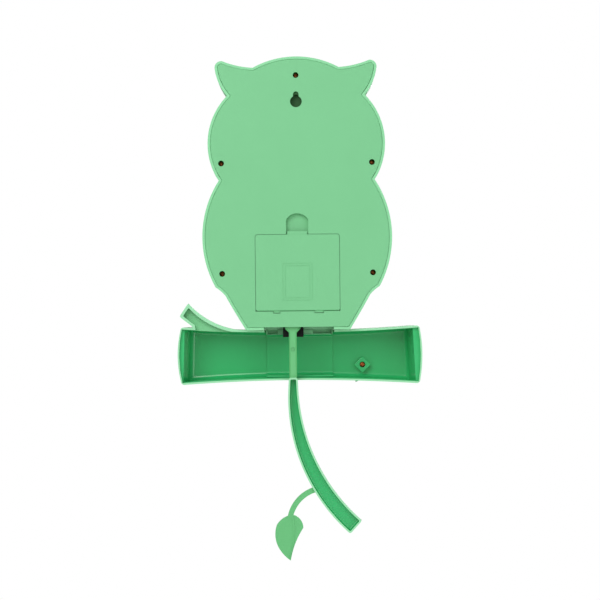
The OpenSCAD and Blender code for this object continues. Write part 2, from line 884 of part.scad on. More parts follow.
module eyeball(side) {
    translate([side * eye_x, -eye_depth, eye_z]) {
        intersection() {
            sphere(r = eye_r);
            translate([-20, -20, -20]) cube([40, 20, 40]);
        }
        translate([0, 0, -19]) cylinder(h = 38, r = 1.5);
        // crank and its pin
        translate([-1.8, -4, -1]) cube([3.6, crank_len + 5.6, 2.2]);
        translate([0, crank_len, -5]) cylinder(h = 5, r = crank_pin_r);
    }
}

module left_eye() {
    color(white) eyeball(1);
}

module right_eye() {
    color(white) eyeball(-1);
}

// A shallow cap on the front of the eyeball
module pupil(side) {
    translate([side * eye_x, -eye_depth, eye_z])
    intersection() {
        difference() {
            sphere(r = eye_r + 0.25);
            sphere(r = eye_r);
        }
        rotate([90, 0, 0]) cylinder(h = 20, r = 6);
    }
}

module left_pupil() {
    color(black) pupil(1);
}

module right_pupil() {
    color(black) pupil(-1);
}

front_shell();
back_cover();
battery_door();
branch_shell();
branch_leaf();
case_screws();
branch_screw();
aa_cells();
spring_contacts();
plate_contacts();
chassis_plate();
chassis_screws();
pivot_pin();
drive_coil();
movement_case();
movement_lid();
movement_nut();
circuit_board();
quartz_crystal();
stepper_coil();
stepper_stator();
minute_arbor();
minute_hand();
hand_cap();
hour_wheel();
hour_hand();
minute_wheel();
set_knob();
dial_plate();
dial_marks();
dial_bezel();
dial_lens();
beak();
eye_rings();
feet();
left_wing();
right_wing();
eye_bracket();
bracket_screws();
eye_bar();
left_eye();
left_pupil();
right_eye();
right_pupil();
rocker_lever();
rocker_magnet();
pendulum_twig();
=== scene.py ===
import math

import bmesh
import bpy
from mathutils import Matrix, Vector


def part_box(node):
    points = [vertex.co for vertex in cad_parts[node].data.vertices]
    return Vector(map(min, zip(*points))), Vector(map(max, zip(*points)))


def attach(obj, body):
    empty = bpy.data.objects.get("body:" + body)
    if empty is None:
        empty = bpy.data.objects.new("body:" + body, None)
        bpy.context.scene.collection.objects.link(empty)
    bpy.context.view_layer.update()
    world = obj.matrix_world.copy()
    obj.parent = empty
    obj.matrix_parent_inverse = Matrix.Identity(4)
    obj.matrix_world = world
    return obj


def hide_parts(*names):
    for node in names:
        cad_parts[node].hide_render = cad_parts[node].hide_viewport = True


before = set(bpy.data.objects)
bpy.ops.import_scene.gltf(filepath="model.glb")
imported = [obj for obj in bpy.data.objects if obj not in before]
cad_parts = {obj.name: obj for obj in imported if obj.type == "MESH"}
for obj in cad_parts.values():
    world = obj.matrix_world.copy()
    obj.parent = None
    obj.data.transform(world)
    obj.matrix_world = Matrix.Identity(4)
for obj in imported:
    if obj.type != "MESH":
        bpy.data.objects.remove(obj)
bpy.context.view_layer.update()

MM = 0.001
CLOSE = 0.02            # how near a point counts as lying on a plane, in millimetres


# ---- Sizes in millimetres; depth is measured from the wall plane towards the dial ----

SHELL_WALL = 1.9
SEAM = (0.28, 1.1)       # width of the seam round the cover, and the depth of its floor
RIM_STEP = 0.6
COVER_T = 2.5
CUP_END = 8             # depth to which the cup behind the keyhole is hollow
CUP_Z = 1.5
CUP_REACH = 7.2
BODY_BOTTOM = -171.4
BODY_CENTRE = (0, -70)
SHELL_STRAIGHT = 35     # depth at which the shell starts to round over
SHELL_INSIDE = 43.7
SHELL_FRONT = 45.5
FRONT_SCALE = 0.91      # size of the flat front against the rim
PASSAGE = (-26.8, 25.7)
SKIRT_BACK = 21.5
SKIRT_POCKETS = [(15.6, 23.2), (-25.3, -11.2)]
CASE_SCREWS = [(0, 19.8), (56.6, -46), (-56.6, -46), (56.6, -128.8), (-56.6, -128.8)]
CHASSIS_SCREWS = [(34, -66), (-34, -66), (34, -140), (-34, -140)]
BRACKET_SCREWS = [(43.5, -33), (-43.5, -33)]
POST_BORE = 0.95
CASE_POST = (9.5, 34, 3.5)      # where this kind of post starts and ends, and its radius
CHASSIS_POST = (28, SHELL_INSIDE + 0.3, 3.2)
BRACKET_POST = (28, SHELL_INSIDE + 0.3, 2.6)
SKIRT_FRONT = 39.8
SKIRT_BOTTOM = -175.4

BRANCH_RIM = 11
BRANCH_FRONT = 50
BRANCH_WALL = 2
BRANCH_ROUND = 8
CORE_ROUND = 3.5        # radius between the hollow's floor and its walls
BRANCH_SCREW = (-49, -199)
LEAF_TIP = (-43.8, -212.6)
END_LEAN = 0.95         # width of the branch's front against its rim
LEDGE_DEPTH = 14.2      # depth of the ledge inside each end of the branch
NOTCH = (-27.2, 25.5)
TONGUE = (-26.3, 24.3)
TONGUE_T = 1.2
TONGUE_GAP = 0.15       # between the lining and the branch's floor
TONGUE_Z = (-207.35, -174.3)
NOTCH_FRONT = 40.4
NOTCH_BOTTOM = -174.9
LEDGE_INSET = 1.4
POST_BACK = 42          # depth of the branch screw post's open end
POST_REACH = 6.4        # from its centre to each corner of its diamond
STUB_FRONT = 21
STUB_FLOOR = 17
STUB_TIP = [(82.9, -150.7), (89.6, -160.7)]
STUB_HOLLOW_TIP = [(82.6, -154), (86.9, -160.3)]
STUB_NOTCH = (79.8, -168.3)

ARM_X = 4.1
ARM_W = 5.8
ARM_BACK = 3.2
ARM_FRONT = 8.4
TWIG_TOP = -207.3
TWIG_BACK = 1.5
TWIG_FRONT = 10
TWIG_WALL = 1.3
TWIG_STRAIGHT = 9.7
TWIG_BEND_R = 138
TWIG_BEND = 48.3
TWIG_W = (6.6, 13.2)


def middle(node):
    """The centre of a node's box, as (x, z) in millimetres."""
    low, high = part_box(node)
    return (low.x + high.x) / 2 / MM, (low.z + high.z) / 2 / MM


DIAL = middle("dial_bezel")
DIAL_HOLE_R = 40
EYES = [middle("left_eye"), middle("right_eye")]
EYE_DEPTH = 36
EYE_R = 15
EYE_HOLE_R = 13.4
NUMERAL_RING = 30.2     # distance of the numerals from the dial's centre
NUMERAL_SIZE = 8.5
THREAD_PITCH = 0.8
HEAD_DOME = 0.8         # height of a screw head's dome

WORLD_LIGHT = 0.42
KEY_POWER = 20
FILL_POWER = 6
FRONT_POWER = 16
CAMERA_ROLL = -0.58


# ---- Outlines: points (x, z) in millimetres, clockwise as seen from the dial's side ----

def arc(centre, radius, start, end, steps):
    turns = [math.radians(start + (end - start) * i / steps) for i in range(steps + 1)]
    return [(centre[0] + radius * math.cos(a), centre[1] + radius * math.sin(a)) for a in turns]


def bow(start, end, sag, steps):
    """An arc from start to end that bulges by sag to the left of that direction."""
    dx, dz = end[0] - start[0], end[1] - start[1]
    span = math.hypot(dx, dz)
    radius = (span * span / 4 + sag * sag) / (2 * abs(sag))
    back = sag - math.copysign(radius, sag)
    centre = ((start[0] + end[0]) / 2 - dz / span * back, (start[1] + end[1]) / 2 + dx / span * back)
    a0 = math.degrees(math.atan2(start[1] - centre[1], start[0] - centre[0]))
    a1 = math.degrees(math.atan2(end[1] - centre[1], end[0] - centre[0]))
    sweep = (a1 - a0 + 180) % 360 - 180
    return arc(centre, radius, a0, a0 + sweep, steps)


def loop_of(*stretches):
    return [point for stretch in stretches for point in stretch[:-1]]


def inset(points, distance):
    """A clockwise loop moved inwards by that distance."""
    moved = []
    for i, here in enumerate(points):
        before, after = points[i - 1], points[(i + 1) % len(points)]
        sides = []
        for a, b in ((before, here), (here, after)):
            span = math.hypot(b[0] - a[0], b[1] - a[1])
            sides.append(((b[1] - a[1]) / span, (a[0] - b[0]) / span))
        mx, mz = sides[0][0] + sides[1][0], sides[0][1] + sides[1][1]
        reach = 2 * distance / (mx * mx + mz * mz)
        moved.append((here[0] + mx * reach, here[1] + mz * reach))
    return moved


def strip(path, halves):
    """The outline of a strip along a path, with its half-width at each point."""
    left, right = [], []
    for i, (x, z) in enumerate(path):
        ahead, behind = path[min(i + 1, len(path) - 1)], path[max(i - 1, 0)]
        dx, dz = ahead[0] - behind[0], ahead[1] - behind[1]
        span = math.hypot(dx, dz)
        left.append((x - dz / span * halves[i], z + dx / span * halves[i]))
        right.append((x + dz / span * halves[i], z - dx / span * halves[i]))
    return left + right[::-1]


body_right = loop_of(
    bow((0, 33.8), (32.3, 25.6), 2.08, 10),
    bow((32.3, 25.6), (55.2, 30.8), -1, 8),
    bow((55.2, 30.8), (60.7, 24.8), 2.1, 8),
    bow((60.7, 24.8), (51.7, 4.7), 1.6, 7),
    arc((15.1, -31.5), 51.5, 44.7, -31.7, 24),
    arc((-6.8, -101.5), 78, 33.2, -28.7, 24),
    bow((61.6, -139), (54.3, -145.3), -0.4, 4),
    bow((54.3, -145.3), (40.4, -169.1), 0.2, 8),
    bow((40.4, -169.1), (37.6, BODY_BOTTOM), 0.6, 4),
    [(37.6, BODY_BOTTOM), (0, BODY_BOTTOM)])
body_outline = body_right + [(0, BODY_BOTTOM)] + [(-x, z) for x, z in body_right[:0:-1]]

# The branch with sharp corners, with rounded ones, and its deep hollow with straight ends
branch_sharp = loop_of(
    bow((-91.9, -169), (89.1, -168.8), -3.15, 40),
    bow((89.1, -168.8), (88.9, -212.4), 2.4, 4),
    bow((88.9, -212.4), (-91.8, -212.8), -3.1, 40),
    bow((-91.8, -212.8), (-91.9, -169), 1.9, 4))
branch_outline = loop_of(
    bow((-89, -169), (86.3, -168.8), -3.15, 40),
    bow((86.3, -168.8), (89, -171.6), 0.85, 8),
    bow((89, -171.6), (88.9, -209.6), 2.2, 14),
    bow((88.9, -209.6), (86, -212.3), 0.85, 8),
    bow((86, -212.3), (-88.9, -212.7), -3.1, 40),
    bow((-88.9, -212.7), (-91.8, -209.9), 0.85, 8),
    bow((-91.8, -209.9), (-91.9, -171.9), 1.7, 14),
    bow((-91.9, -171.9), (-89, -169), 0.85, 8))
branch_core = loop_of(
    bow((-87, -171.1), (86.3, -170.9), -3.05, 40),
    [(86.3, -170.9), (87.7, -210.3)],
    bow((87.7, -210.3), (-89, -210.7), -3, 40),
    [(-89, -210.7), (-87, -171.1)])

stub_outline = loop_of(
    bow((42, -171.5), STUB_TIP[0], -4.4, 16),
    STUB_TIP,
    [STUB_TIP[1], STUB_NOTCH],
    [STUB_NOTCH, (77.8, -178)],
    [(77.8, -178), (41, -178)],
    [(41, -178), (42, -171.5)])
stub_hollow = loop_of(
    bow((45, -173.2), STUB_HOLLOW_TIP[0], -4, 16),
    STUB_HOLLOW_TIP,
    [STUB_HOLLOW_TIP[1], (78, -167.2)],
    [(78, -167.2), (76.5, -178)],
    [(76.5, -178), (45, -178)],
    [(45, -178), (45, -173.2)])

twig_bend = [(ARM_X - TWIG_BEND_R + x, z) for x, z in
             arc((0, TWIG_TOP - TWIG_STRAIGHT), TWIG_BEND_R, 0, -TWIG_BEND, 36)]
twig_path = [(ARM_X, TWIG_TOP - TWIG_STRAIGHT * i / 4) for i in range(4)] + twig_bend
twig_length = TWIG_STRAIGHT + TWIG_BEND_R * math.radians(TWIG_BEND)


def twig_half(along):
    """Half the twig's width: it widens quickly at first and then more slowly."""
    return (TWIG_W[0] + (TWIG_W[1] - TWIG_W[0]) * (1 - (1 - along / twig_length) ** 2)) / 2


twig_along = [TWIG_STRAIGHT * i / 4 for i in range(4)] + [
    TWIG_STRAIGHT + (twig_length - TWIG_STRAIGHT) * i / 36 for i in range(37)]
twig_outline = strip(twig_path, [twig_half(s) for s in twig_along])
twig_hollow = inset(twig_outline, TWIG_WALL)
TWIG_TOP_ENDS = (0, -1)                             # where the top's corners stand in those outlines
TWIG_TIP_ENDS = (len(twig_path) - 1, len(twig_path))

arm_outline = [
    (ARM_X - ARM_W / 2, -173.5), (ARM_X - ARM_W, -170.5), (ARM_X - ARM_W, -166.5), (ARM_X + ARM_W, -166.5),
    (ARM_X + ARM_W, -170.5), (ARM_X + ARM_W / 2, -173.5), (ARM_X + ARM_W / 2, TWIG_TOP - 1.2),
    (ARM_X - ARM_W / 2, TWIG_TOP - 1.2)]

stem_outline = strip(bow((-15, -291), (7.4, -312.5), 4.9, 16), [2] * 17)

leaf_outline = loop_of(
    bow((5.5, -310.4), (17.5, -318), 1.6, 8),
    bow((17.5, -318), (15.4, -336.6), 2.2, 12),
    bow((15.4, -336.6), (7.3, -345), 0.6, 6),
    bow((7.3, -345), (4, -332.8), -0.3, 6),
    bow((4, -332.8), (-2.4, -320.4), -0.4, 6),
    bow((-2.4, -320.4), (5.5, -310.4), 2.2, 8))


# ---- Modelling tools ----

def deselect():
    if bpy.context.object and bpy.context.object.mode != "OBJECT":
        bpy.ops.object.mode_set(mode="OBJECT")
    bpy.ops.object.select_all(action="DESELECT")


def take(piece):
    deselect()
    piece.select_set(True)
    bpy.context.view_layer.objects.active = piece
    return piece


def named(name):
    piece = bpy.context.object
    piece.name = piece.data.name = name
    return piece


def apply(piece, kind, **settings):
    take(piece)
    modifier = piece.modifiers.new(kind.lower(), kind)
    for key, value in settings.items():
        setattr(modifier, key, value)
    bpy.ops.object.modifier_apply(modifier=modifier.name)


def pick(piece, kind, test):
    """Enters edit mode with only the faces or edges picked whose corner points pass the test."""
    take(piece)
    bpy.ops.object.mode_set(mode="EDIT")
    bpy.ops.mesh.select_mode(type=kind)
    bpy.ops.mesh.select_all(action="DESELECT")
    mesh = bmesh.from_edit_mesh(piece.data)
    for item in mesh.faces if kind == "FACE" else mesh.edges:
        if test([v.co / MM for v in item.verts]):
            item.select_set(True)
    bmesh.update_edit_mesh(piece.data)


def at_depth(depth):
    return lambda corners: all(abs(co.y + depth) < CLOSE for co in corners)


def outline_set(name, points):
    """A filled ring of points (x, depth, z), left in edit mode with everything selected."""
    deselect()
    bpy.ops.mesh.primitive_circle_add(vertices=len(points), radius=0.1, fill_type="NGON")
    piece = named(name)
    for vertex, (x, depth, z) in zip(piece.data.vertices, points):
        vertex.co = (x * MM, -depth * MM, z * MM)
    bpy.ops.object.mode_set(mode="EDIT")
    bpy.ops.mesh.select_all(action="SELECT")
    return piece


def extrude(x, depth, z):
    bpy.ops.mesh.extrude_region_move(TRANSFORM_OT_translate={"value": (x * MM, -depth * MM, z * MM)})


def face_outwards():
    bpy.ops.mesh.select_all(action="SELECT")
    bpy.ops.mesh.normals_make_consistent(inside=False)
    bpy.ops.object.mode_set(mode="OBJECT")


def plate(name, points, near, far):
    """A flat piece with that outline, from depth near to depth far."""
    piece = outline_set(name, [(x, near, z) for x, z in points])
    extrude(0, far - near, 0)
    face_outwards()
    return piece


def crowned(name, points, near, straight, far, scale, centre, rings):
    """A plate whose sides round over in a quarter ellipse to a flat front of that scale."""
    piece = plate(name, points, near, straight)
    pick(piece, "FACE", at_depth(straight))
    depth, size = straight, 1
    for i in range(1, rings + 1):
        turn = math.pi / 2 * i / rings
        next_depth = straight + (far - straight) * math.sin(turn)
        next_size = 1 - (1 - scale) * (1 - math.cos(turn))
        extrude(0, next_depth - depth, 0)
        bpy.ops.transform.resize(value=(next_size / size, 1, next_size / size),
                                 center_override=(centre[0] * MM, -next_depth * MM, centre[1] * MM))
        depth, size = next_depth, next_size
    face_outwards()
    return piece


def round_front(piece, depth, radius, segments=8):
    """Rounds over the edge of a plate's front."""
    pick(piece, "EDGE", at_depth(depth))
    bpy.ops.mesh.bevel(offset=radius * MM, segments=segments, profile=0.5, affect="EDGES")
    face_outwards()
    return piece


def round_corners(piece, corners, radius, segments=5):
    """Rounds the edges along Y that stand on those points (x, z) of a plate's outline."""
    def on_corner(ends):
        return abs(ends[0].y - ends[1].y) > 1 and any(
            math.hypot(co.x - x, co.z - z) < CLOSE for co in ends for x, z in corners)
    pick(piece, "EDGE", on_corner)
    bpy.ops.mesh.bevel(offset=radius * MM, segments=segments, affect="EDGES")
    face_outwards()
    return piece


def lean_ends(piece, share_at_front):
    """Draws the piece's ends towards the middle as it goes from rim to front."""
    for vertex in piece.data.vertices:
        share = max(0, (-vertex.co.y / MM - BRANCH_RIM) / (BRANCH_FRONT - BRANCH_RIM))
        vertex.co.x *= 1 - (1 - share_at_front) * share
    return piece


def block(name, x, depth, z):
    """A box from its limits."""
    deselect()
    bpy.ops.mesh.primitive_cube_add(size=1, location=[
        (x[0] + x[1]) / 2 * MM, -(depth[0] + depth[1]) / 2 * MM, (z[0] + z[1]) / 2 * MM])
    piece = named(name)
    piece.scale = ((x[1] - x[0]) * MM, (depth[1] - depth[0]) * MM, (z[1] - z[0]) * MM)
    bpy.ops.object.transform_apply(location=True, rotation=True, scale=True)
    return piece


def rod(name, start, end, radius, sides=48):
    """A cylinder between two points (x, depth, z)."""
    deselect()
    a, b = (Vector((p[0], -p[1], p[2])) * MM for p in (start, end))
    bpy.ops.mesh.primitive_cylinder_add(
        vertices=sides, radius=radius * MM, depth=(b - a).length, location=(a + b) / 2,
        rotation=(b - a).to_track_quat("Z", "Y").to_euler())
    piece = named(name)
    bpy.ops.object.transform_apply(location=True, rotation=True, scale=True)
    return piece


def disc(name, centre, near, far, radius, sides=96):
    return rod(name, (centre[0], near, centre[1]), (centre[0], far, centre[1]), radius, sides)


def spun(name, centre, profile, sides=96):
    """A turned piece: a closed profile of (radius, depth) spun about the Y line through centre."""
    deselect()
    bpy.ops.mesh.primitive_circle_add(vertices=len(profile), radius=0.1, fill_type="NOTHING")
    piece = named(name)
    for vertex, (radius, depth) in zip(piece.data.vertices, profile):
        vertex.co = ((centre[0] + radius) * MM, -depth * MM, centre[1] * MM)
    bpy.ops.object.mode_set(mode="EDIT")
    bpy.ops.mesh.select_all(action="SELECT")
    bpy.ops.mesh.spin(steps=sides, angle=2 * math.pi, axis=(0, 1, 0),
                      center=(centre[0] * MM, 0, centre[1] * MM))
    bpy.ops.mesh.select_all(action="SELECT")
    bpy.ops.mesh.remove_doubles(threshold=MM / 1000)
    bpy.ops.mesh.dissolve_degenerate(threshold=MM / 1000)
    bpy.ops.mesh.delete_loose()
    face_outwards()
    return piece


def combine(piece, operation, *others):
    for other in others:
        apply(piece, "BOOLEAN", operation=operation, object=other, solver="EXACT", material_mode="TRANSFER")
        bpy.data.objects.remove(other)
    return piece


def cut(piece, *others):
    return combine(piece, "DIFFERENCE", *others)


def fuse(piece, *others):
    return combine(piece, "UNION", *others)


def soften(piece, width, segments=3, angle=35):
    """Rounds the sharp edges, then shades smooth with the flat faces kept flat."""
    apply(piece, "BEVEL", width=width * MM, segments=segments, limit_method="ANGLE",
          angle_limit=math.radians(angle), use_clamp_overlap=True)
    take(piece)
    bpy.ops.object.shade_smooth_by_angle(angle=math.radians(38))
    apply(piece, "WEIGHTED_NORMAL", keep_sharp=True)
    return piece


def copy_of(node, name):
    """A merged copy of a CAD node's mesh, to refine."""
    piece = bpy.data.objects.new(name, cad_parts[node].data.copy())
    piece.data.name = name
    bpy.context.scene.collection.objects.link(piece)
    take(piece)
    bpy.ops.object.mode_set(mode="EDIT")
    bpy.ops.mesh.select_all(action="SELECT")
    bpy.ops.mesh.remove_doubles(threshold=2 * MM / 1000)
    bpy.ops.mesh.dissolve_limited(angle_limit=math.radians(0.5))
    bpy.ops.object.mode_set(mode="OBJECT")
    return piece


def turned_copy(piece, name, degrees):
    """A copy with its own mesh, turned clockwise about the dial's centre as the dial faces the viewer."""
    copy = bpy.data.objects.new(name, piece.data.copy())
    bpy.context.scene.collection.objects.link(copy)
    centre = Matrix.Translation((DIAL[0] * MM, 0, DIAL[1] * MM))
    copy.data.transform(centre @ Matrix.Rotation(math.radians(degrees), 4, "Y") @ centre.inverted())
    return copy


def gather(name, pieces):
    """Joins separate solids into one piece."""
    take(pieces[0])
    for other in pieces[1:]:
        other.select_set(True)
    bpy.ops.object.join()
    return named(name)


def primed(piece):
    """Gives a piece the mint material before it is cut with polished cores, whose cut faces bring in the
    painted shade.
    """
    piece.data.materials.append(mint)
    return piece


def polished(core, floor=True):
    """Gives a cutter the polished material, with its painted shade, which its cut faces take over, with or
    without its flat floor.
    """
    core.data.materials.clear()
    core.data.materials.append(mint_polished_painted_shade)
    if not floor:
        core.data.materials.append(mint)
        for face in core.data.polygons:
            if abs(face.normal.y) > 0.9:
                face.material_index = 1
    return core


def pale_rim(piece, depth):
    """Gives the faces of a rim at that depth the rim's material: a painted highlight."""
    piece.data.materials.append(mint_rim_painted_highlight)
    for face in piece.data.polygons:
        if face.normal.y > 0.5 and -face.center.y / MM < depth + 0.45:
            face.material_index = len(piece.data.materials) - 1
    return piece


def place(piece, finish, body, slot, *nodes):
    """Gives a finished piece its material, unless it was primed, and its place in the assembly."""
    if mint_polished_painted_shade.name not in piece.data.materials:
        piece.data.materials.clear()
        piece.data.materials.append(finish)
    for i, own in enumerate(piece.data.materials):
        if own is None:
            piece.data.materials[i] = finish
    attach(piece, body)
    if nodes:
        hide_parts(*nodes)
    return piece


# ---- Materials ----

def linear(colour):
    """Linear RGBA from an sRGB hex value."""
    values = [int(colour[i:i + 2], 16) / 255 for i in (1, 3, 5)]
    return [v / 12.92 if v <= 0.04045 else ((v + 0.055) / 1.055) ** 2.4 for v in values] + [1]


def add(tree, kind, inputs=(), **settings):
    """Adds a node, with its settings, and its inputs as (socket, value or output to link)."""
    node = tree.nodes.new(kind)
    for key, value in settings.items():
        setattr(node, key, value)
    for socket, value in inputs:
        if isinstance(value, bpy.types.NodeSocket):
            tree.links.new(value, node.inputs[socket])
        else:
            node.inputs[socket].default_value = value
    return node


def material(name, colours, roughness, pattern, bump_mm, shader_inputs):
    """A surface whose colour and roughness follow a pattern's factor, and whose bump follows its height."""
    made = bpy.data.materials.new(name)
    made.use_nodes = True
    tree = made.node_tree
    tree.nodes.clear()
    coordinates = add(tree, "ShaderNodeTexCoord").outputs["Object"]
    factor, height = pattern(tree, coordinates)
    colour = add(tree, "ShaderNodeMix", [(0, factor), (6, linear(colours[0])), (7, linear(colours[1]))],
                 data_type="RGBA")
    rough = add(tree, "ShaderNodeMapRange", [
        ("Value", factor), ("To Min", roughness[0]), ("To Max", roughness[1])])
    normal = add(tree, "ShaderNodeBump", [("Height", height), ("Strength", 1.0), ("Distance", bump_mm * MM)])
    shader = add(tree, "ShaderNodeBsdfPrincipled", [
        ("Base Color", colour.outputs[2]), ("Roughness", rough.outputs["Result"]),
        ("Normal", normal.outputs["Normal"])] + shader_inputs)
    add(tree, "ShaderNodeOutputMaterial", [("Surface", shader.outputs["BSDF"])])
    return made


def noise(tree, coordinates, size_mm, detail=2.0, stretch=(1, 1, 1)):
    mapped = add(tree, "ShaderNodeMapping", [("Vector", coordinates), ("Scale", stretch)])
    found = add(tree, "ShaderNodeTexNoise", [
        ("Vector", mapped.outputs["Vector"]), ("Scale", 1 / (size_mm * MM)), ("Detail", detail)])
    return found.outputs["Fac"]


def wave(tree, coordinates, pitch_mm, distortion, **settings):
    """Waves one pitch apart: the texture's own period at scale 1 is a tenth of pi."""
    scale = math.pi / 10 / (pitch_mm * MM)
    found = add(tree, "ShaderNodeTexWave", [
        ("Vector", coordinates), ("Scale", scale), ("Distortion", distortion)], **settings)
    return found.outputs["Fac"]


def moulded(flow_mm, grain_mm):
    """Soft clouds from the melt's flow, and the fine grain of the mould's wall."""
    def pattern(tree, coordinates):
        return noise(tree, coordinates, flow_mm, 3), noise(tree, coordinates, grain_mm)
    return pattern


def turned(pitch_mm):
    """Fine rings left by a lathe round the dial's centre line."""
    def pattern(tree, coordinates):
        centred = add(tree, "ShaderNodeMapping", [
            ("Vector", coordinates), ("Location", (-DIAL[0] * MM, 0, -DIAL[1] * MM))])
        rings = wave(tree, centred.outputs["Vector"], pitch_mm, 0.6, wave_type="RINGS", rings_direction="Y")
        return noise(tree, coordinates, 6), rings
    return pattern


def streaked(length_mm, width_mm):
    """Fine marks drawn out along X."""
    def pattern(tree, coordinates):
        marks = noise(tree, coordinates, width_mm, 3, (width_mm / length_mm, 1, 1))
        return marks, marks
    return pattern


def wound(wire_mm):
    """Turns of wire side by side."""
    def pattern(tree, coordinates):
        turns = wave(tree, coordinates, wire_mm, 0.3, wave_type="BANDS", bands_direction="Y")
        return noise(tree, coordinates, 3), turns
    return pattern


def traced(pitch_mm):
    """Copper tracks raised under the solder mask."""
    def pattern(tree, coordinates):
        flat = add(tree, "ShaderNodeMapping", [("Vector", coordinates), ("Rotation", (math.pi / 2, 0, 0))])
        tracks = add(tree, "ShaderNodeTexBrick", [
            ("Vector", flat.outputs["Vector"]), ("Scale", 1 / (pitch_mm * MM) / 2), ("Mortar Size", 0.06)])
        return tracks.outputs["Fac"], tracks.outputs["Fac"]
    return pattern


ABS_IOR = ("IOR", 1.54)

# Mint ABS, injection moulded: an even pastel with a satin sheen and barely seen flow clouds
mint = material("abs_moulded_mint", ("#6ebf84", "#74c58a"), (0.42, 0.52), moulded(38, 1.1), 0.005, [ABS_IOR])
# The same ABS where the mould's core was polished: glossy, and painted deeper in colour as painted shade in
# the hollows it lines
mint_polished_painted_shade = material("abs_polished_mint_painted_shade", ("#30ba6c", "#3ac076"), (0.16, 0.24), moulded(38, 9), 0.002,
                         [ABS_IOR])
# The shell's ABS painted a shade paler, a painted highlight for the light along its rim
mint_shell_painted_highlight = material("abs_moulded_mint_painted_highlight", ("#84d29a", "#8ad8a0"), (0.38, 0.48), moulded(38, 1.1), 0.005,
                      [ABS_IOR])
# The twig's ABS, a shade deeper
mint_twig = material("abs_moulded_mid_mint", ("#5eb872", "#64be78"), (0.38, 0.48), moulded(30, 1.1), 0.005,
                     [ABS_IOR])
# The same on the thin rims, painted paler: a painted highlight where light catches the rims
mint_rim_painted_highlight = material("abs_moulded_rim_mint_painted_highlight", ("#94daa8", "#9ce0b0"), (0.38, 0.48), moulded(30, 1.1), 0.005,
                    [ABS_IOR])
# Mint ABS painted dark green inside the cup behind the keyhole: painted shade for the dark there
cup_painted_shade = material("abs_moulded_mint_painted_cup_shade", ("#03560f", "#066014"), (0.5, 0.6), moulded(20, 1.1), 0.005,
                     [ABS_IOR])
# Deep green ABS of the wings
deep_mint = material("abs_moulded_deep_green", ("#148a3c", "#1c9244"), (0.38, 0.5), moulded(30, 1.1), 0.006,
                     [ABS_IOR])
# Black ABS, moulded with a matt grain that swallows the light
black = material("abs_moulded_black", ("#020403", "#060907"), (0.6, 0.75), moulded(20, 0.8), 0.015,
                 [ABS_IOR, ("Specular IOR Level", 0.2)])
# Polystyrene, moulded white and glossy, as an eye should be
white = material("polystyrene_moulded_white", ("#efece3", "#f5f3eb"), (0.1, 0.18), moulded(25, 1.5), 0.002,
                 [("IOR", 1.59), ("Coat Weight", 0.4), ("Coat Roughness", 0.04)])
# Orange ABS, moulded and polished
orange = material("abs_moulded_orange", ("#e48426", "#ec9234"), (0.2, 0.32), moulded(18, 1.1), 0.005,
                  [ABS_IOR])
# Card, uncoated: dull, with fibres that lie along the sheet
card = material("card_uncoated_white", ("#efece1", "#f6f4ec"), (0.7, 0.85), streaked(4, 0.5), 0.01,
                [("IOR", 1.45)])
# Printing ink on the card: flat black
ink = material("ink_printed_black", ("#0b0b0c", "#141415"), (0.5, 0.7), streaked(4, 0.5), 0.005,
               [("IOR", 1.5)])
# Acrylic, cast and polished: clear, and light goes straight through
clear = material("acrylic_cast_clear", ("#f2f7f7", "#fafdfd"), (0.01, 0.04), moulded(60, 8), 0.001,
                 [("IOR", 1.49), ("Transmission Weight", 1.0), ("Alpha", 0.3)])
# Steel with a copper flash: warm brown, a little worn
copper = material("steel_copper_flashed", ("#8c4426", "#b8683c"), (0.28, 0.45), streaked(1.5, 0.3), 0.01,
                  [("Metallic", 1.0)])
# Steel, zinc plated: pale and slightly streaked
steel = material("steel_zinc_plated", ("#aeb2b6", "#c6cacd"), (0.25, 0.4), streaked(3, 0.3), 0.006,
                 [("Metallic", 1.0)])
# Brass, turned on a lathe
brass = material("brass_turned", ("#b48f46", "#caa85c"), (0.2, 0.34), turned(0.4), 0.01, [("Metallic", 1.0)])
# Copper wire with amber enamel, its turns drawn coarser than real so that they show
winding = material("copper_wire_enamelled", ("#9a4a1e", "#b4602c"), (0.25, 0.35), wound(0.4), 0.08,
                   [("Metallic", 1.0), ("Coat Weight", 0.5)])
# Glass-fibre board with a green solder mask over its tracks
board = material("fibreglass_solder_masked", ("#14502c", "#2a7a46"), (0.3, 0.4), traced(2.5), 0.03,
                 [("IOR", 1.5)])
# Vinyl sleeve shrunk round a dry cell
sleeve = material("vinyl_shrunk_grey", ("#2f3840", "#3c464f"), (0.22, 0.32), moulded(16, 1), 0.004,
                  [("IOR", 1.53)])

FINISHED_NODES = {
    black: ["chassis_plate", "movement_case", "movement_lid", "eye_bracket"],
    steel: ["chassis_screws", "bracket_screws", "pivot_pin", "quartz_crystal", "stepper_stator",
            "rocker_magnet", "spring_contacts", "plate_contacts"],
    winding: ["drive_coil", "stepper_coil"],
    brass: ["movement_nut", "minute_arbor", "hour_wheel", "minute_wheel"],
    board: ["circuit_board"],
    card: ["dial_plate"],
    white: ["eye_bar"],
}
for finish, nodes in FINISHED_NODES.items():
    for node in nodes:
        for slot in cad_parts[node].material_slots:
            slot.material = finish


# ---- Front shell ----

def screw_post(name, centre, near, far, radius):
    return spun(name, centre, [(radius, near), (radius, far), (POST_BORE, far), (POST_BORE, near)], sides=32)


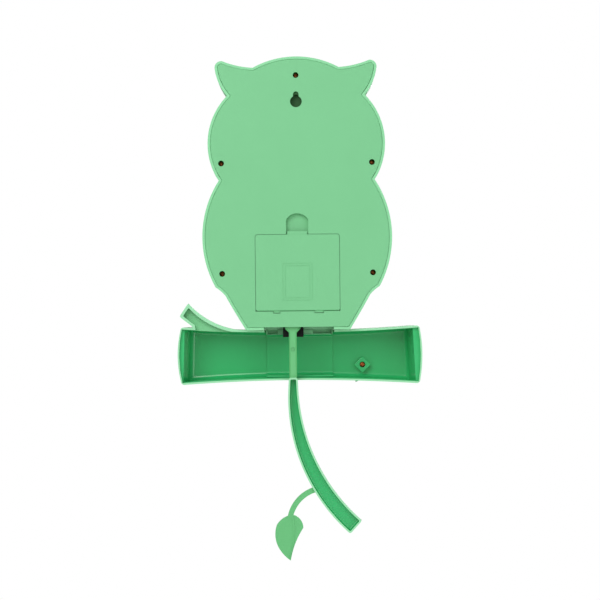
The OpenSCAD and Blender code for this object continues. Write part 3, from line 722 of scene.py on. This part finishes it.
def front_shell():
    """The owl's body: a straight rim, a rounded front with holes for dial and eyes, and posts inside."""
    inner = inset(body_outline, SHELL_WALL + SEAM[0])
    piece = crowned("owl_body_shell", body_outline, RIM_STEP, SHELL_STRAIGHT, SHELL_FRONT, FRONT_SCALE,
                    BODY_CENTRE, 10)
    cut(piece,
        plate("seam", inset(body_outline, SHELL_WALL), -1, SEAM[1]),
        crowned("hollow", inner, -1, SHELL_STRAIGHT, SHELL_INSIDE, FRONT_SCALE, BODY_CENTRE, 10),
        block("passage", PASSAGE, (-2, SKIRT_BACK), (BODY_BOTTOM - 3, BODY_BOTTOM + 3)),
        disc("dial_hole", DIAL, SHELL_INSIDE - 3, SHELL_FRONT + 3, DIAL_HOLE_R),
        *[disc("eye_hole", eye, SHELL_INSIDE - 3, SHELL_FRONT + 3, EYE_HOLE_R) for eye in EYES])
    soften(piece, 0.4)
    posts = [screw_post("post", c, *CASE_POST) for c in CASE_SCREWS]
    posts += [screw_post("post", c, *CHASSIS_POST) for c in CHASSIS_SCREWS]
    posts += [screw_post("post", c, *BRACKET_POST) for c in BRACKET_SCREWS]
    # The shell's paler mint is a painted highlight for its rim.
    return place(gather("owl_body_shell", [piece] + posts), mint_shell_painted_highlight, "case", "mint_abs", "front_shell")


def skirt():
    """The body's foot in the branch's notch: a block with two shallow pockets above the tongue."""
    piece = block("owl_skirt", TONGUE, (SKIRT_BACK, SKIRT_FRONT), (SKIRT_BOTTOM, BODY_BOTTOM + 0.6))
    depths, heights = (SKIRT_BACK - 1, SKIRT_BACK + 3), (TONGUE_Z[1], BODY_BOTTOM + 5)
    cut(piece, *[block("pocket", x, depths, heights) for x in SKIRT_POCKETS])
    return place(soften(piece, 0.2), mint, "case", "mint_abs")


def tongue():
    """Lining with the branch's own inner section, drawn along X."""
    bottom, top = TONGUE_Z
    corner = CORE_ROUND
    near = BRANCH_FRONT - BRANCH_WALL - TONGUE_GAP - corner
    outer = arc((near, top - corner), corner, 90, 0, 8) + arc((near, bottom + corner), corner, 0, -90, 8)
    inner = [(depth, z) for depth, z in arc((near, bottom + corner), corner - TONGUE_T, -90, 0, 8)
             + arc((near, top - corner), corner - TONGUE_T, 0, 90, 8)]
    section = [(SKIRT_BACK, top)] + outer + [(SKIRT_BACK, bottom), (SKIRT_BACK, bottom + TONGUE_T)] + inner
    section.append((SKIRT_BACK, top - TONGUE_T))
    piece = outline_set("owl_tongue", [(TONGUE[0], depth, z) for depth, z in section])
    extrude(TONGUE[1] - TONGUE[0], 0, 0)
    face_outwards()
    # The lining takes the polished material, painted deeper as painted shade like the branch's hollow.
    return place(soften(piece, 0.15), mint_polished_painted_shade, "case", "mint_abs")


# ---- Branch and its leaf ----

def branch():
    """The hollow branch, its ends leaning in, with the broken-off side branch that opens into it."""
    floor = BRANCH_FRONT - BRANCH_WALL
    piece = round_front(plate("branch_shell_moulding", branch_sharp, BRANCH_RIM, BRANCH_FRONT),
                        BRANCH_FRONT, BRANCH_ROUND)
    combine(piece, "INTERSECT", plate("corners", branch_outline, BRANCH_RIM - 1, BRANCH_FRONT + 1))
    lean_ends(piece, END_LEAN)
    primed(piece)
    side = round_front(plate("side_branch", stub_outline, BRANCH_RIM, STUB_FRONT), STUB_FRONT, 2, 5)
    fuse(piece, round_corners(side, STUB_TIP + [STUB_NOTCH], 1.6))
    side_core = plate("side_core", stub_hollow, BRANCH_RIM - 1, STUB_FLOOR)
    ledge = plate("ledge", inset(branch_sharp, LEDGE_INSET), BRANCH_RIM - 1, LEDGE_DEPTH)
    core = round_front(plate("core", branch_core, BRANCH_RIM - 1, floor), floor, CORE_ROUND)
    # The cores' cut faces take the polished material: painted shade in the hollow, on the ledge and on the
    # side branch's walls.
    cut(piece,
        polished(lean_ends(core, END_LEAN)),
        polished(ledge),
        polished(round_corners(side_core, STUB_HOLLOW_TIP, 1), floor=False),
        block("notch", NOTCH, (0, NOTCH_FRONT), (NOTCH_BOTTOM, -160)),
        disc("screw_hole", BRANCH_SCREW, 30, 60, 1.2, sides=32))
    diamond = [(BRANCH_SCREW[0] + x * POST_REACH, BRANCH_SCREW[1] + z * POST_REACH)
               for x, z in ((-1, 0), (0, 1), (1, 0), (0, -1))]
    post = round_corners(plate("post", diamond, POST_BACK, BRANCH_FRONT - 1), diamond, 1.2)
    cut(post,
        disc("bore", BRANCH_SCREW, POST_BACK - 1, POST_BACK + 1.2, 2.2, sides=32),
        disc("hole", BRANCH_SCREW, POST_BACK - 1, BRANCH_FRONT + 2, 1.2, sides=32))
    # The faces of the branch's rim get a painted highlight.
    pale_rim(soften(piece, 0.4), BRANCH_RIM)
    # The screw post inside the hollow takes the polished material's painted shade.
    whole = gather("branch_shell_moulding", [piece, soften(polished(post), 0.3)])
    return place(whole, mint, "case", "mint_abs", "branch_shell")


def branch_leaf():
    """Leaf on the front of the branch, with a raised midrib."""
    outline = loop_of(bow((-62, -180), LEAF_TIP, 7, 12), bow(LEAF_TIP, (-62, -180), 7, 12))
    piece = round_front(plate("branch_leaf_moulding", outline, BRANCH_FRONT, BRANCH_FRONT + 2.6),
                        BRANCH_FRONT + 2.6, 1.2, 4)
    halves = [0.3 + 0.5 * math.sin(math.pi * i / 10) for i in range(11)]
    rib = strip(bow((-61, -181.5), (-44, -209), 0.8, 10), halves)
    fuse(piece, plate("rib", rib, BRANCH_FRONT + 1, BRANCH_FRONT + 3.2),
         disc("screw_boss", BRANCH_SCREW, BRANCH_FRONT + 1, BRANCH_FRONT + 4.5, 3, sides=48))
    cut(piece, disc("hole", BRANCH_SCREW, BRANCH_FRONT - 1, BRANCH_FRONT + 3.5, 1, sides=32))
    return place(soften(piece, 0.25), mint, "case", "mint_abs", "branch_leaf")


# ---- Pendulum ----

def pendulum_twig():
    """The swinging twig: a flat arm, a curved trough open at the back, a stem and a leaf."""
    piece = primed(plate("twig_pendulum", twig_outline, TWIG_BACK, TWIG_FRONT))
    round_front(piece, TWIG_FRONT, 2.6, 6)
    round_corners(piece, [twig_outline[i] for i in TWIG_TOP_ENDS + TWIG_TIP_ENDS], 1.6)
    arm = plate("arm", arm_outline, ARM_BACK, ARM_FRONT)
    pick(arm, "FACE", at_depth(ARM_BACK))
    bpy.ops.mesh.inset(thickness=0.95 * MM)
    bpy.ops.transform.translate(value=(0, -0.9 * MM, 0))
    face_outwards()
    web_z = (TWIG_TOP - 0.8, TWIG_TOP + 1)
    fuse(arm, block("web", (ARM_X - 2.4, ARM_X + 2.4), (ARM_BACK, ARM_FRONT - 1), web_z))
    groove = [(0.95, 2), (0.95, ARM_BACK + 1.8), (1.5, ARM_BACK + 1.8), (1.5, 2)]
    cut(arm, spun("mark", (ARM_X, -186.1), groove, 32))
    stem = plate("stem", stem_outline, 5, 8)
    leaf = plate("leaf", leaf_outline, 5.3, 7.7)
    midrib = strip(bow((5.8, -311), (8.2, -343), -2.2, 14), [0.75 - 0.5 * i / 14 for i in range(15)])
    fuse(leaf, plate("midrib", midrib, 4.8, 8.2))
    fuse(piece, arm, stem, leaf, disc("peg", (ARM_X, -171.5), ARM_FRONT - 0.5, 14, 1.6, sides=32))
    trough = plate("trough", twig_hollow, TWIG_BACK - 1, TWIG_FRONT - TWIG_WALL)
    round_front(trough, TWIG_FRONT - TWIG_WALL, 1.4, 5)
    round_corners(trough, [twig_hollow[i] for i in TWIG_TOP_ENDS + TWIG_TIP_ENDS], 0.9)
    # The trough's inside takes the polished material's painted shade.
    cut(piece, polished(trough))
    piece.data.materials[0] = mint_twig
    # The faces of the twig's rim get a painted highlight.
    return place(pale_rim(soften(piece, 0.28), TWIG_BACK), mint_twig, "pendulum", "mint_abs", "pendulum_twig")


# ---- Screws ----

def screw(name, centre, head_depth, length, head_r, shank_r):
    """A self-tapping screw: a domed head with a cross recess, and a thread of closed rings."""
    profile = [(0, head_depth)]
    for degrees in range(15, 91, 15):
        turn = math.radians(degrees)
        profile.append((head_r * math.sin(turn), head_depth + HEAD_DOME * (1 - math.cos(turn))))
    profile += [(head_r, head_depth + 1.5), (shank_r, head_depth + 1.6)]
    turns = int((length - 2.6) / THREAD_PITCH)
    for i in range(turns):
        start = head_depth + 1.8 + THREAD_PITCH * i
        profile += [(shank_r * 0.78, start), (shank_r * 0.78, start + 0.35), (shank_r, start + 0.6)]
    profile += [(shank_r * 0.6, head_depth + length - 0.6), (0, head_depth + length)]
    piece = spun(name, centre, profile, sides=32)
    reach, half = head_r * 0.62, head_r * 0.15
    cross = [(-half, reach), (half, reach), (half, half), (reach, half), (reach, -half), (half, -half),
             (half, -reach), (-half, -reach), (-half, -half), (-reach, -half), (-reach, half), (-half, half)]
    cross = [((x - z) * math.sqrt(0.5) + centre[0], (x + z) * math.sqrt(0.5) + centre[1]) for x, z in cross]
    recess = crowned("recess", cross, head_depth - 0.5, head_depth + 0.3, head_depth + 1.1, 0.55, centre, 2)
    return cut(piece, recess)


def case_screws():
    screws = [screw("screw", c, 6.2, 16, 2, 0.95) for c in CASE_SCREWS]
    piece = soften(gather("case_screw_set", screws), 0.08, 2)
    return place(piece, copper, "case", "copper_screw", "case_screws")


def branch_screw():
    piece = soften(screw("leaf_screw", BRANCH_SCREW, 41.6, 11, 2, 1), 0.08, 2)
    return place(piece, copper, "case", "copper_screw", "branch_screw")


# ---- Refined copies: the CAD shape is right, and its edges are rounded ----

def refined(node, name, width, finish, body, slot, segments=2):
    return place(soften(copy_of(node, name), width, segments), finish, body, slot, node)


def back_cover():
    """The cover with its battery tray; the cup behind the keyhole is painted dark inside, as painted shade.
    """
    piece = refined("back_cover", "back_cover_plate", 0.3, mint, "case", "mint_abs", 3)
    piece.data.materials.append(cup_painted_shade)
    # Faces inside the cup get the dark green painted shade.
    for face in piece.data.polygons:
        centre = face.center / MM
        if -centre.y > COVER_T and math.hypot(centre.x, centre.z - CUP_Z) < CUP_REACH and -centre.y < CUP_END:
            face.material_index = 1
    return piece


# ---- Dial and hands ----

def dial_print():
    """Minute strokes and numerals printed on the card."""
    near, far = SHELL_INSIDE, SHELL_INSIDE + 0.15
    minute = block("stroke", (DIAL[0] - 0.25, DIAL[0] + 0.25), (near, far), (DIAL[1] + 36.8, DIAL[1] + 39))
    hour = block("stroke", (DIAL[0] - 0.6, DIAL[0] + 0.6), (near, far), (DIAL[1] + 35.6, DIAL[1] + 39))
    prints = [turned_copy(minute if i % 5 else hour, "stroke", 6 * i) for i in range(60)]
    for stroke in (minute, hour):
        bpy.data.objects.remove(stroke)
    for hour_no in range(1, 13):
        turn = math.radians(30 * hour_no)
        deselect()
        x, z = DIAL[0] + NUMERAL_RING * math.sin(turn), DIAL[1] + NUMERAL_RING * math.cos(turn)
        bpy.ops.object.text_add(location=(x * MM, -near * MM, z * MM), rotation=(math.pi / 2, 0, 0))
        text = bpy.context.object
        text.data.body = str(hour_no)
        text.data.size = NUMERAL_SIZE * MM
        text.data.extrude = (far - near) * MM
        text.data.align_x = "CENTER"
        text.data.align_y = "CENTER"
        bpy.ops.object.convert(target="MESH")
        bpy.ops.object.transform_apply(location=True, rotation=True, scale=True)
        prints.append(bpy.context.object)
    return place(gather("dial_numerals", prints), ink, "case", "black_plastic", "dial_marks")


def bezel():
    near, far = SHELL_FRONT, SHELL_FRONT + 6.3
    crest = [(43.6 + 2.4 * math.cos(math.radians(a)), far - 2.4 + 2.4 * math.sin(math.radians(a)))
             for a in range(0, 91, 10)]
    profile = [(46, near)] + crest + [(43.3, far), (43.3, far - 1.8), (41, far - 1.8), (41, near)]
    piece = soften(spun("dial_bezel_ring", DIAL, profile, 160), 0.2, 2)
    return place(piece, mint, "case", "mint_abs", "dial_bezel")


def lens():
    low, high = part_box("dial_lens")
    near, far = -high.y / MM, -low.y / MM
    radius = 43.1
    dome = [(radius * math.sin(math.radians(a)), far - 0.5 + 0.5 * math.cos(math.radians(a)))
            for a in range(0, 91, 10)]
    piece = soften(spun("dial_lens_disc", DIAL, dome + [(radius, near), (0, near)], 160), 0.08, 2)
    return place(piece, clear, "case", "clear_lens", "dial_lens")


def hand(name, length, width, hub_r, near, far):
    """A hand with a broad blade that narrows to its tip, and a short tail, round a hub."""
    points = [(-0.9, -9), (-1.2, 0), (-width / 2, length * 0.55), (-0.35, length), (0.35, length),
              (width / 2, length * 0.55), (1.2, 0), (0.9, -9)]
    piece = plate(name, [(DIAL[0] + x, DIAL[1] + z) for x, z in points], near, far)
    fuse(piece, disc("hub", DIAL, near, far, hub_r, sides=48))
    return soften(piece, 0.12, 2)


def hands():
    hour = hand("hour_hand_blade", 22, 4.4, 3.9, 45.9, 46.5)
    place(hour, black, "hour_train", "black_plastic", "hour_hand")
    minute = hand("minute_hand_blade", 32, 3.6, 3, 47.2, 47.8)
    place(minute, black, "minute_train", "black_plastic", "minute_hand")
    profile = [(0, 49.3), (1.6, 49.2), (2.3, 48.8), (2.6, 48.3),
               (2.6, 47.85), (1.4, 47.85), (1.4, 48.5), (0, 48.5)]
    cap = soften(spun("hand_cap_turned", DIAL, profile, 48), 0.06, 2)
    place(cap, brass, "minute_train", "brass", "hand_cap")


# ---- Face, wings and feet ----

def eye_rings():
    rings = []
    for eye in EYES:
        crest = [(16.5 + 2.5 * math.cos(math.radians(a)), SHELL_FRONT + 2 * math.sin(math.radians(a)))
                 for a in range(0, 181, 15)]
        rings.append(spun("ring", eye, crest, 96))
    return place(soften(gather("eye_ring_pair", rings), 0.1, 2), white, "case", "white_plastic", "eye_rings")


def eyeball(name, node, pupil_name, pupil_node, body, centre):
    """A flat-backed dome on an upright axle, with a crank behind it, and a domed pupil cap."""
    x, z = centre
    quarter = [(EYE_R * math.sin(math.radians(a)), EYE_DEPTH + EYE_R * math.cos(math.radians(a)))
               for a in range(0, 91, 5)]
    piece = spun(name, centre, quarter + [(0, EYE_DEPTH)], 96)
    fuse(piece, rod("axle", (x, EYE_DEPTH, z - 19), (x, EYE_DEPTH, z + 19), 1.5, 32),
         block("crank", (x - 1.8, x + 1.8), (EYE_DEPTH - 17.6, EYE_DEPTH + 4), (z - 1, z + 1.2)),
         rod("crank_pin", (x, EYE_DEPTH - 16, z - 5), (x, EYE_DEPTH - 16, z), 1.2, 24))
    place(soften(piece, 0.15, 2), white, body, "white_plastic", node)
    outer, inner = EYE_R + 0.25, EYE_R - 0.05
    steps = [6 * i / 8 for i in range(9)]
    cap = [(r, EYE_DEPTH + math.sqrt(outer ** 2 - r ** 2)) for r in steps]
    cap += [(r, EYE_DEPTH + math.sqrt(inner ** 2 - r ** 2)) for r in steps[::-1]]
    place(soften(spun(pupil_name, centre, cap, 64), 0.06, 2), black, body, "black_plastic", pupil_node)


def beak():
    outline = bow((-5, -44), (5, -44), 1.5, 8)[:-1] + bow((5, -44), (0, -54.5), 1.0, 6)[:-1] + bow(
        (0, -54.5), (-5, -44), 1.0, 6)[:-1]
    piece = crowned("owl_beak", outline, SHELL_FRONT, SHELL_FRONT + 1, SHELL_FRONT + 4.5, 0.25, (0, -46.5), 8)
    return place(soften(piece, 0.2, 2), orange, "case", "orange_plastic", "beak")


def feet():
    """Three rounded toes side by side on each foot."""
    toes = []
    for side in (-1, 1):
        for toe in (-1, 0, 1):
            x, z = side * 21 + toe * 5.6, -160 - 1.5 * (1 - abs(toe))
            oval = [(x + 3.9 * math.cos(math.radians(-a)), z + 4 * math.sin(math.radians(-a)))
                    for a in range(0, 360, 12)]
            toes.append(crowned("toe", oval, SHELL_FRONT, SHELL_FRONT + 1, SHELL_FRONT + 4, 0.2, (x, z), 8))
    return place(soften(gather("owl_toes", toes), 0.2, 2), orange, "case", "orange_plastic", "feet")


def wing(name, node, side):
    """A crescent beside the dial with two long feather grooves."""
    low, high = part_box(node)
    outer = 52
    low_z, high_z = low.z / MM, high.z / MM
    centre = (side * 10, (low_z + high_z) / 2)
    reach = math.degrees(math.asin(min(1, (high_z - low_z) / 2 / outer)))

    def on_side(points, about):
        return points if side > 0 else [(2 * about[0] - x, z) for x, z in points]

    rim = on_side(arc(centre, outer, reach * 0.97, -reach * 0.97, 30), centre)
    inner_rim = on_side(arc(DIAL, 49.6, -reach * 1.02, reach * 1.02, 30), DIAL)
    piece = soften(plate(name, rim + inner_rim, SHELL_FRONT, SHELL_FRONT + 1.9), 0.6, 3)
    for inwards, spread in ((3.4, 50), (6.6, 38)):
        path = on_side(arc(centre, outer - inwards, spread, -spread, 24), centre)
        halves = [0.1 + 0.35 * math.sin(math.pi * i / 24) for i in range(25)]
        cut(piece, plate("groove", strip(path, halves), SHELL_FRONT + 1.3, SHELL_FRONT + 3))
    return place(piece, deep_mint, "case", "deep_mint_abs", node)


# ---- Cells ----

def cells():
    """Two dry cells: a vinyl sleeve, with bare steel at the ends."""
    piece = soften(copy_of("aa_cells", "dry_cell_pair"), 0.5, 3)
    place(piece, sleeve, "case", "cell_sleeve", "aa_cells")
    piece.data.materials.append(steel)
    for face in piece.data.polygons:
        if abs(face.normal.z) > 0.6:
            face.material_index = 1
    return piece


front_shell()
skirt()
tongue()
back_cover()
refined("battery_door", "battery_door_panel", 0.2, mint, "door", "mint_abs", 2)
branch()
branch_leaf()
pendulum_twig()
case_screws()
branch_screw()
refined("rocker_lever", "rocker_lever_moulding", 0.3, black, "pendulum", "black_plastic", 3)
refined("set_knob", "setting_knob", 0.15, black, "setting_train", "black_plastic")
dial_print()
bezel()
lens()
hands()
eye_rings()
eyeball("left_eye_dome", "left_eye", "left_pupil_cap", "left_pupil", "left_eyeball", EYES[0])
eyeball("right_eye_dome", "right_eye", "right_pupil_cap", "right_pupil", "right_eyeball", EYES[1])
beak()
feet()
wing("left_wing_crescent", "left_wing", 1)
wing("right_wing_crescent", "right_wing", -1)
cells()


# ---- Floor, light and camera ----

FLOOR_Z = -0.4
deselect()
bpy.ops.mesh.primitive_plane_add(size=1, location=(0, 0.55, FLOOR_Z))
floor = named("floor")
floor.scale = (2.4, 1.45, 1)
bpy.ops.object.transform_apply(location=True, rotation=True, scale=True)
# Painted board, rolled: pale, matt, with the faint stipple of the roller
paint = material("board_painted_pale", ("#eeeeec", "#f4f4f2"), (0.7, 0.85), moulded(80, 3), 0.02,
                 [("IOR", 1.5)])
floor.data.materials.append(paint)

world = bpy.data.worlds.new("studio")
bpy.context.scene.world = world
world.use_nodes = True
tree = world.node_tree
tree.nodes.clear()
surround = add(tree, "ShaderNodeBackground", [("Color", (1, 1, 1, 1)), ("Strength", WORLD_LIGHT)])
backdrop = add(tree, "ShaderNodeBackground", [("Color", (1, 1, 1, 1)), ("Strength", 1.0)])
path = add(tree, "ShaderNodeLightPath")
mixed = add(tree, "ShaderNodeMixShader", [
    (0, path.outputs["Is Camera Ray"]), (1, surround.outputs[0]), (2, backdrop.outputs[0])])
add(tree, "ShaderNodeOutputWorld", [("Surface", mixed.outputs[0])])

TARGET = Vector((-0.0016, 0, -0.149))


def soft_box(name, place_at, size, power):
    """A square area light that faces the clock."""
    lamp = bpy.data.lights.new(name, "AREA")
    lamp.size = size
    lamp.energy = power
    holder = bpy.data.objects.new(name, lamp)
    bpy.context.scene.collection.objects.link(holder)
    holder.visible_camera = False
    holder.location = place_at
    holder.rotation_euler = (TARGET - Vector(place_at)).to_track_quat("-Z", "Y").to_euler()


soft_box("key", (0.6, 1.7, 0.7), 1.2, KEY_POWER)
soft_box("low_fill", (-0.8, 1.6, -0.2), 1.0, FILL_POWER)
soft_box("front_light", (-0.6, -1.4, 0.5), 1.0, FRONT_POWER)

CAMERA_DISTANCE = 1.8
FIELD = 0.45            # width that the view covers at the wall plane
SENSOR = 36
camera_data = bpy.data.cameras.new("camera")
camera_data.sensor_width = SENSOR
camera_data.lens = SENSOR * CAMERA_DISTANCE / FIELD
camera = bpy.data.objects.new("camera", camera_data)
bpy.context.scene.collection.objects.link(camera)
camera.location = TARGET + Vector((0, CAMERA_DISTANCE, 0))
aim = Vector((0, -1, 0)).to_track_quat("-Z", "Y").to_matrix().to_4x4()
camera.rotation_euler = (aim @ Matrix.Rotation(math.radians(CAMERA_ROLL), 4, "Z")).to_euler()
bpy.context.scene.camera = camera
bpy.context.scene.view_settings.view_transform = "Standard"
